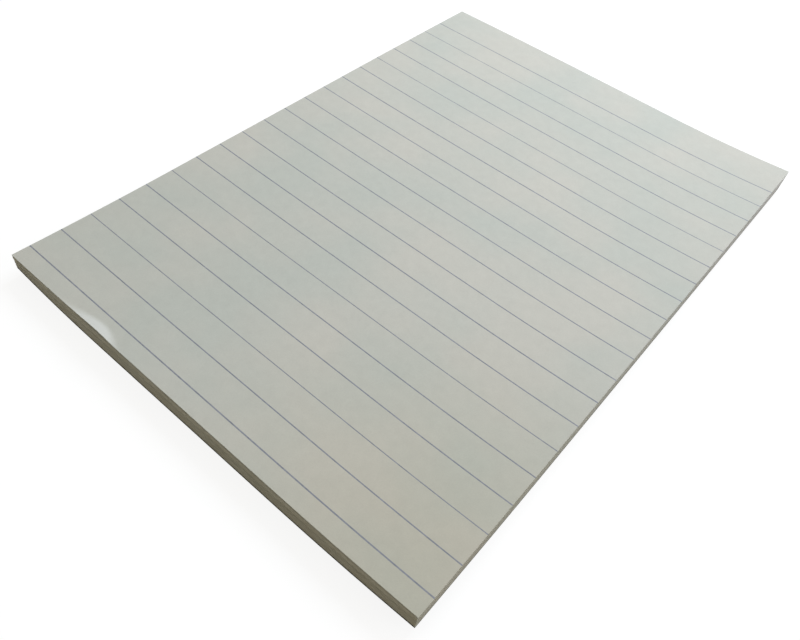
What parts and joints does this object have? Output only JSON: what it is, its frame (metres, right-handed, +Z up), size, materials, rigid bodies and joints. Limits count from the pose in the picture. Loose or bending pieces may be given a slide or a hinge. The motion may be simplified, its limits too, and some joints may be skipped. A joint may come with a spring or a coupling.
{
  "type": "ruled writing pad",
  "caption": "Glued writing pad: a stack of ruled white sheets on a stiff board, with a shallow dished page and curled corners.",
  "frame": {"origin": "on the table under the middle of the pad's outline", "axes": "+X across the sheet to the reader's right, +Y from the foot up to the glued head, +Z up out of the page"},
  "size_m": [0.148, 0.2102, 0.0096],
  "materials": {
    "paper": "uncoated, matt",
    "ruling_ink": "blue-grey offset ink on paper, matt",
    "grey_board": "grey recycled board, matt",
    "pad_glue": "dried white padding glue, satin"
  },
  "bodies": {
    "root": {"sheet_stack": "paper", "ruled_lines": "ruling_ink", "backing_board": "grey_board", "head_glue": "pad_glue"}
  },
  "joints": []
}
